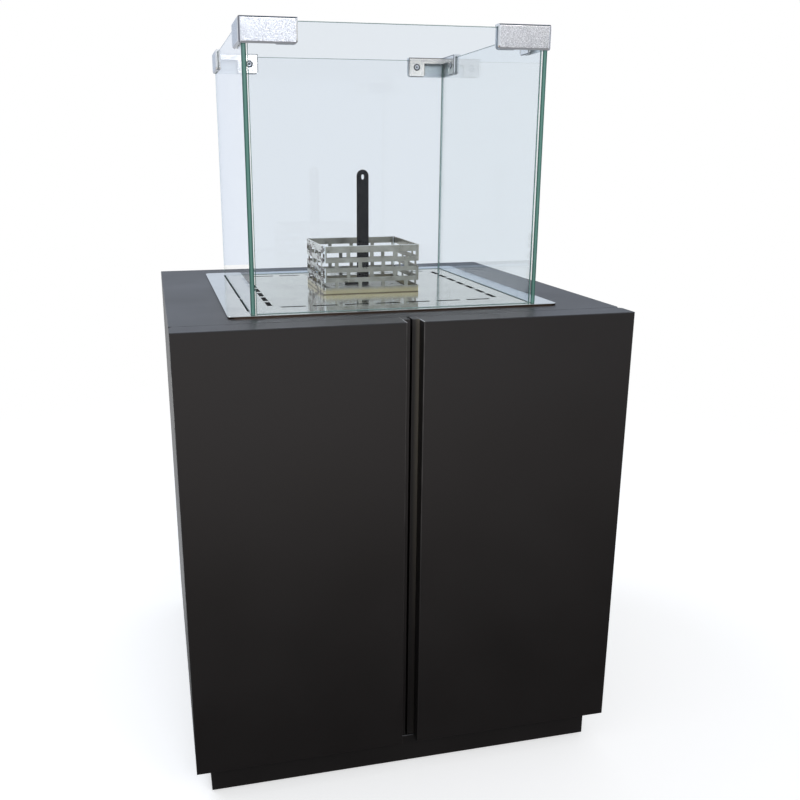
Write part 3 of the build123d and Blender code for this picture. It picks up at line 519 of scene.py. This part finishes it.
# the doors' lacquer carries the groove's painted highlights and painted light
doorFinish = satinBlackLacquer("satinBlackLacquerPaintedLight", paintGrooveLight)
for subpart in frame["record"]["subparts"]:
    nodeName, slotName = subpart["node"], subpart["material_slot"]
    if slotName in finishes:
        cadMesh = nodes[nodeName].data
        cadMesh.materials.clear()
        cadMesh.materials.append(doorFinish if nodeName in ("left_door", "right_door") else finishes[slotName])
for name, (cast, thinAxis) in pane["castsAndShade"].items():
    low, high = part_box(name)
    nodes[name].data.materials.clear()
    nodes[name].data.materials.append(clearGlass("clearFloatGlass_" + name, cast, thinAxis, low[thinAxis],
                                                 high[thinAxis]))
print("finishes given")


# faces of a closed tube whose points start at a number: a quad from each point of a ring to the next
# point and the next ring, and one flat face over each end
def tubeFaces(rings, steps, start=0):
    ring, step = np.meshgrid(np.arange(rings - 1), np.arange(steps), indexing="ij")
    nextStep = (step + 1) % steps
    quads = np.stack([ring * steps + step, (ring + 1) * steps + step, (ring + 1) * steps + nextStep,
                      ring * steps + nextStep], axis=-1).reshape(-1, 4) + start
    first, last = np.arange(steps) + start, np.arange(steps)[::-1] + (rings - 1) * steps + start
    return quads.tolist() + [first.tolist(), last.tolist()]


# an object of points and faces with one finish; turnOut has the faces of a closed shape point outwards
def makePiece(name, points, faces, material, turnOut=False):
    mesh = bpy.data.meshes.new(name)
    mesh.from_pydata(np.array(points).reshape(-1, 3).tolist(), [], faces)
    if turnOut:
        shell = bmesh.new()
        shell.from_mesh(mesh)
        bmesh.ops.recalc_face_normals(shell, faces=shell.faces)
        shell.to_mesh(mesh)
        shell.free()
    mesh.materials.append(material)
    piece = bpy.data.objects.new(name, mesh)
    bpy.context.scene.collection.objects.link(piece)
    return piece


# Screws: turned and pressed steel, a countersunk head with a hexagon or cross recess. Head, foot and
# apothem are radii. Of a clip's two screws one sits on the leg along the width and one on the leg along
# the depth, both placed from the glass box's middle.
glassMiddle = -11 * mm  # the glass box stands so far in front of the cabinet's middle
clipScrews = {"head": 5.5 * mm, "depth": 2.98 * mm, "foot": 3.0 * mm, "shank": 0.0, "crown": 0.2 * mm,
              "apothem": 2.0 * mm, "socket": 1.8 * mm, "steps": 48,
              "onWidth": (140.8 * mm, 195.2 * mm), "onDepth": (185.2 * mm, 150.8 * mm), "z": 996.8 * mm}
hingeScrews = {"head": 3.2 * mm, "depth": 1.2 * mm, "foot": 1.6 * mm, "shank": 14 * mm, "crown": 0.12 * mm,
               "arm": 2.0 * mm, "halfWidth": 0.42 * mm, "socket": 0.9 * mm, "steps": 64,
               "x": 288 * mm, "frameFace": -258.2 * mm, "doorFace": -258.8 * mm,
               "levels": [z * mm for z in (122, 162, 540, 580)]}
# lip width and crown edge as shares of the head's radius, floor and closing face as shares of the recess;
# the thread's length as a share of the shank, the point as one of its radius
screwShares = {"lip": 0.08, "crown": 0.80, "closing": 0.02, "floor": 0.96, "thread": 0.8, "point": 0.2}


# The surface is (r(a, s), h(s)) about the screw's axis: s runs over the profile, a round the axis. Inside
# the recess r is the hexagon's apothem / cos(a'), a' the angle to the nearest flat, or for the cross
# min(arm, halfWidth / sin(a")), a" the angle to the nearest arm.
def screwHead(size):
    a = np.linspace(0, 2 * math.pi, size["steps"], endpoint=False)
    if "apothem" in size:
        recess = size["apothem"] / np.cos((a + math.pi / 6) % (math.pi / 3) - math.pi / 6)
    else:
        toArm = np.abs((a + math.pi / 4) % (math.pi / 2) - math.pi / 4)
        recess = np.minimum(size["arm"], size["halfWidth"] / np.maximum(np.sin(toArm), 1e-6))
    full = np.ones_like(a)
    head, foot, crown = full * size["head"], full * size["foot"], size["crown"]
    lip = size["head"] * screwShares["lip"]
    profile = [(recess * screwShares["closing"], -size["socket"]),  # the recess's floor and wall
               (recess * screwShares["floor"], -size["socket"]),
               (recess, -lip * 0.5),
               (recess + lip * 0.4, crown),  # its pressed lip, then the crown
               (head * screwShares["crown"], crown),
               (head - lip, crown * 0.4),  # the rim, and the cone down to the foot
               (head, -lip * 0.5),
               (foot, -size["depth"])]
    if size["shank"]:
        profile += [(foot, -size["depth"] - screwShares["thread"] * size["shank"]),
                    (foot * screwShares["point"], -size["depth"] - size["shank"])]
    else:
        profile.append((foot * screwShares["closing"], -size["depth"]))
    radius = np.array([r for r, h in profile])
    height = np.array([h for r, h in profile])[:, None] * full
    return np.stack([radius * np.cos(a), radius * np.sin(a), height], axis=-1)


# one head for each seat: p = place + head turned so that its axis points outwards. The UV map "radius"
# holds each point's distance from the axis, as a share of the head's radius.
def makeScrews(name, size, seats, material, node, body):
    head = screwHead(size)
    rows, steps = head.shape[:2]
    points, faces = [], []
    for i, (place, outwards) in enumerate(seats):
        w = np.array(outwards, float)
        u = np.cross((0, 0, 1), w)
        points.append(head.reshape(-1, 3) @ np.array([u, np.cross(w, u), w]) + np.array(place))
        faces += tubeFaces(rows, steps, i * rows * steps)
    piece = makePiece(name, points, faces, material)
    mesh = piece.data
    share = np.tile(np.linalg.norm(head[:, :, :2], axis=2).ravel() / size["head"], len(seats))
    corners = np.empty(len(mesh.loops), dtype=np.int32)
    mesh.loops.foreach_get("vertex_index", corners)
    uv = np.stack([share[corners], np.zeros(len(corners))], axis=1)
    mesh.uv_layers.new(name="radius").data.foreach_set("uv", uv.ravel())
    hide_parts(node)
    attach(piece, body)


# Bright zinc plate on the screws; the ring round the head and the recess are painted dark as painted shade.
plated = {"recess": (0.0, "#1E1F22"), "recessWallShade": (0.26, "#26272A"), "inner": (0.34, "#E2E3E6"),
          "outer": (0.58, "#D4D6DA"), "ring": (0.66, "#1A1A1D"), "seatShade": (1.0, "#101113"),
          "bright": ("inner", "outer"), "smudge": 1.5 * mm, "roughness": (0.28, 0.42)}


# colour and metal both go by the share of the radius: metal only between the inner and the outer stop
def platedScrew():
    material, tree = newMaterial("zincPlatedScrew")
    share = addNode(tree, "SeparateXYZ", [addNode(tree, "UVMap", uv_map="radius")]).outputs["X"]
    rings = ("recess", "recessWallShade", "inner", "outer", "ring", "seatShade")
    colour = addNode(tree, "ValToRGB", {"Fac": share}, stops=[plated[ring] for ring in rings])
    metal = addNode(tree, "ValToRGB", {"Fac": share},
                    stops=[(plated[ring][0], white if ring in plated["bright"] else black) for ring in rings])
    smudge = blotches(tree, plated["smudge"])
    shader = addNode(tree, "BsdfPrincipled", {
        "Base Color": colour,
        "Metallic": metal,
        "Roughness": addNode(tree, "MapRange", [smudge, *noiseSpan, *plated["roughness"]]),
    })
    addNode(tree, "OutputMaterial", {"Surface": shader})
    return material


screwFinish = platedScrew()
clipSeats = []
for sideX in (-1, 1):
    for sideY in (-1, 1):
        for leg, outwards in (("onWidth", (0, -sideY, 0)), ("onDepth", (-sideX, 0, 0))):
            x, y = clipScrews[leg]
            clipSeats.append(((sideX * x, glassMiddle + sideY * y, clipScrews["z"]), outwards))
makeScrews("clip_screw_heads", clipScrews, clipSeats, screwFinish, "clip_screws", "glass_surround")
frameSeats = [((sideX * hingeScrews["x"], hingeScrews["frameFace"], z), (0, -1, 0))
              for sideX in (-1, 1) for z in hingeScrews["levels"]]
makeScrews("frame_screw_heads", hingeScrews, frameSeats, screwFinish, "frame_screws", "cabinet")
for side, sideX in (("left", -1), ("right", 1)):
    doorSeats = [((sideX * hingeScrews["x"], hingeScrews["doorFace"], z), (0, 1, 0))
                 for z in hingeScrews["levels"]]
    makeScrews(side + "_door_screw_heads", hingeScrews, doorSeats, screwFinish, side + "_door_screws",
               side + "_door")
print("screws made")


# Pads between clip and glass: soft clear vinyl cut from an L strip, 0.1 mm off the glass and the casting,
# so light reaches its face through the pane.
pads = {"thick": 0.8 * mm, "tall": 21 * mm, "deep": 6.8 * mm, "gap": 0.1 * mm, "long": 63 * mm,
        "halfX": 195.8 * mm, "halfY": 205.8 * mm, "top": 1008.8 * mm}


# each pad is the strip's closed outline carried straight along a leg: p(i, t) = corner + outline(i) + t * leg
def makePads(material):
    gap, thick, deep, tall = pads["gap"], pads["thick"], pads["deep"], pads["tall"]
    # the outline in the plane (inwards, up), from the outer foot round the top lip and back
    outline = np.array([(gap, -tall), (thick - gap, -tall), (thick - gap, gap - thick), (deep, gap - thick),
                        (deep, -gap), (gap, -gap)])
    points, faces = [], []
    for sideX in (-1, 1):
        for sideY in (-1, 1):
            corner = np.array((sideX * pads["halfX"], glassMiddle + sideY * pads["halfY"], pads["top"]))
            towards = [(0, -sideY, 0), (-sideX, 0, 0)]
            for inwards, along in (towards, towards[::-1]):
                section = corner + outline[:, :1] * np.array(inwards) + outline[:, 1:] * np.array((0, 0, 1))
                faces += tubeFaces(2, len(outline), len(points) * len(outline))
                points += [section, section + pads["long"] * np.array(along)]
    piece = makePiece("clip_pad_strips", points, faces, material, turnOut=True)
    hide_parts("clip_pads")
    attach(piece, "glass_surround")


# Dust seal: a strip of black foam behind the plinth's front board, under the doors, that closes the slit
# to the bottom panel.
seal = {"y": -258.4 * mm, "halfWidth": 1.35 * mm, "top": 48.5 * mm, "height": 10 * mm, "halfLength": 279 * mm,
        "steps": 20, "rows": 40, "endShare": 0.15, "squareness": 3.0}


# the section is a round bulb on a squared foot, y = middle + halfWidth * cos a and z = middle + half height *
# sin a above, half height * tanh(squareness * sin a) below; it is carried along x and tapers at both ends
def makeSeal(material):
    a = np.linspace(0, 2 * math.pi, seal["steps"], endpoint=False)
    t = np.linspace(-1, 1, seal["rows"])[:, None]
    taper = np.minimum(1.0, np.sqrt((1 - np.abs(t)) * seal["rows"] / 2) + seal["endShare"])
    half = seal["height"] / 2
    rise = np.where(np.sin(a) > 0, np.sin(a), np.tanh(seal["squareness"] * np.sin(a)))
    y = seal["y"] + seal["halfWidth"] * np.cos(a) * taper
    z = seal["top"] - half + half * rise * taper
    points = np.stack([seal["halfLength"] * t + 0 * a, y, z], axis=-1)
    faces = tubeFaces(seal["rows"], seal["steps"])
    piece = makePiece("plinth_dust_seal", points, faces, material, turnOut=True)
    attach(piece, "cabinet")


makePads(finishes["clip_pad_rubber"])
makeSeal(lumpyStuff("closedCellFoam", "#0D0D0D", "#1C1C1C", lump=0.9 * mm, lumpDepth=0.2 * mm, detail=3.0,
                    specular=0.2))
print("pads and seal made")


# Studio: a pale floor that goes over into a white background, seen white by the camera, in gloss and
# through glass, while the floor keeps the object's shadow. In gloss the side in front of the object is
# a dim room under a bright ceiling, with sun on its floor, so dark lacquer and clear glass don't turn milky.
studio = {
    "floorHalf": 6.0, "floor": "#E6E5E3", "roughness": 0.9, "lift": 0.5,
    "whiteFrom": (0.7, 2.0),  # the floor goes over into white between these distances
    "turn": (-0.4, 0.3),  # in gloss the front side ends and the white side begins, in y
    "sunFloor": [(0.0, "#272727"), (0.25, "#565656"), (0.4, "#F4F4F4"), (0.9, white), (1.0, "#696969")],
    "sunReach": (-0.3, -3.9), "warm": "#FBF1EA",  # from near to far, in y
    "sideReach": (0.0, 2.0), "sideFade": (1.3, 0.2),  # the sun fades to the right, in x
    "soft": "#EEF3FA", "softLight": 0.6,  # what lights the object
    "gloss": "#E0EAFA", "dim": 0.11,  # what it mirrors, and how dark the room gets
    "open": (4.5, 1.1, -0.3), "openFrom": 0.5,  # brighter upwards, to the back and to the left
}


# The floor is paint, glowing a little where it has to look white; far out plain white takes its place. For
# gloss rays in front of the object it is the sun's pattern over y, times the fade over x. The world's
# brightness in gloss goes by openFrom + the direction's z, y and x times the three weights of open.
def buildStudio():
    h = studio["floorHalf"]
    floorMaterial, tree = newMaterial("paintedStudioFloor")
    floor = makePiece("studioFloor", [(-h, -h, 0), (h, -h, 0), (h, h, 0), (-h, h, 0)], [(0, 1, 2, 3)],
                      floorMaterial)
    path = addNode(tree, "LightPath").outputs
    place = addNode(tree, "TexCoord").outputs["Object"]
    x, y = addNode(tree, "SeparateXYZ", [place]).outputs[:2]
    seen = addNode(tree, "Math", [path["Is Camera Ray"], path["Is Transmission Ray"]], operation="MAXIMUM")
    unseen = addNode(tree, "Math", [1.0, seen], operation="SUBTRACT")
    glossOnly = addNode(tree, "Math", [path["Is Glossy Ray"], unseen], operation="MULTIPLY")
    behind = addNode(tree, "MapRange", [y, *studio["turn"]])
    inFront = addNode(tree, "MapRange", [y, *studio["turn"], 1.0, 0.0])
    seenWhite = addNode(tree, "Math", [glossOnly, behind, seen], operation="MULTIPLY_ADD")
    lift = addNode(tree, "Math", [seenWhite, studio["lift"]], operation="MULTIPLY")
    painted = addNode(tree, "BsdfPrincipled", {
        "Base Color": studio["floor"], "Roughness": studio["roughness"], "Specular IOR Level": 0.0,
        "Emission Color": white, "Emission Strength": lift})
    distance = addNode(tree, "VectorMath", [place], operation="LENGTH").outputs["Value"]
    far = addNode(tree, "MapRange", [distance, *studio["whiteFrom"]], interpolation_type="SMOOTHSTEP")
    farWhite = addNode(tree, "Math", [far, seenWhite], operation="MULTIPLY")
    plainWhite = addNode(tree, "Emission", {"Color": white, "Strength": 1.0})
    fading = addNode(tree, "MixShader", [farWhite, painted, plainWhite])
    depth = addNode(tree, "MapRange", [y, *studio["sunReach"]])
    patch = addNode(tree, "ValToRGB", {"Fac": depth}, stops=studio["sunFloor"])
    fade = addNode(tree, "MapRange", [x, *studio["sideReach"], *studio["sideFade"]])
    sunned = addNode(tree, "Math", [patch, fade], operation="MULTIPLY")
    sunLit = addNode(tree, "Emission", {"Color": studio["warm"], "Strength": sunned})
    front = addNode(tree, "Math", [glossOnly, inFront], operation="MULTIPLY")
    addNode(tree, "OutputMaterial", {"Surface": addNode(tree, "MixShader", [front, fading, sunLit])})

    world = bpy.data.worlds.new("studioWorld")
    bpy.context.scene.world = world
    world.use_nodes = True
    tree = world.node_tree
    tree.nodes.clear()
    path = addNode(tree, "LightPath").outputs
    x, y, z = addNode(tree, "SeparateXYZ", [addNode(tree, "TexCoord").outputs["Generated"]]).outputs
    openness = studio["openFrom"]
    for share, weight in zip((z, y, x), studio["open"]):
        openness = addNode(tree, "Math", [share, weight, openness], operation="MULTIPLY_ADD")
    roomLevel = addNode(tree, "MapRange", [openness, 0.0, 1.0, studio["dim"], 1.0])
    soft = addNode(tree, "Background", {"Color": studio["soft"], "Strength": studio["softLight"]})
    room = addNode(tree, "Background", {"Color": studio["gloss"], "Strength": roomLevel})
    plainWhite = addNode(tree, "Background", {"Color": white, "Strength": 1.0})
    glossed = addNode(tree, "MixShader", [path["Is Glossy Ray"], soft, room])
    seen = addNode(tree, "Math", [path["Is Camera Ray"], path["Is Transmission Ray"]], operation="MAXIMUM")
    addNode(tree, "OutputWorld", {"Surface": addNode(tree, "MixShader", [seen, glossed, plainWhite])})


lamps = {  # place, target, size, watts and colour of each soft box
    "backBox": ((-1.6, 1.2, 2.9), (0.0, 0.0, 0.6), 1.6, 30.0, "#EAF2FF"),
    "frontBox": ((0.1, -3.0, 1.95), (0.0, 0.0, 0.8), 1.0, 20.0, "#F4F7FF"),
    "rightBox": ((1.35, -2.9, 2.2), (0.0, 0.0, 0.8), 1.2, 14.0, "#FFF8F0"),
}


# each soft box is a round area lamp whose -z axis points from its place to its target
def hangLamps():
    for name, (place, target, size, watts, colour) in lamps.items():
        data = bpy.data.lights.new(name, "AREA")
        data.shape = "DISK"
        data.size = size
        data.energy = watts
        data.color = linearColour(colour)[:3]
        lamp = bpy.data.objects.new(name, data)
        lamp.location = place
        lamp.rotation_euler = (Vector(target) - Vector(place)).to_track_quat("-Z", "Y").to_euler()
        lamp.visible_transmission = False  # a soft box is never seen through the glass
        bpy.context.scene.collection.objects.link(lamp)


# Camera at the photograph's place, in metres and degrees: turned right of +Y and tipped down
cameraView = {"place": (-0.3119, -1.3337, 0.8520), "turn": -13.143, "tip": -15.930, "roll": 0.182,
              "lens": 39.583, "sensor": 36.0, "shift": (0.0499, 0.0101)}


# a camera at rest looks down -Z, so it is tipped up by 90 degrees plus the tip, then rolled and turned
def setCamera():
    data = bpy.data.cameras.new("studioCamera")
    data.sensor_width = cameraView["sensor"]
    data.lens = cameraView["lens"]
    data.shift_x, data.shift_y = cameraView["shift"]
    camera = bpy.data.objects.new("studioCamera", data)
    camera.location = cameraView["place"]
    camera.rotation_euler = Euler((math.radians(90 + cameraView["tip"]), math.radians(cameraView["roll"]),
                                   math.radians(cameraView["turn"])), "XYZ")
    bpy.context.scene.collection.objects.link(camera)
    bpy.context.scene.camera = camera


buildStudio()
hangLamps()
setCamera()
bpy.context.scene.view_settings.view_transform = "Standard"
print("studio ready")
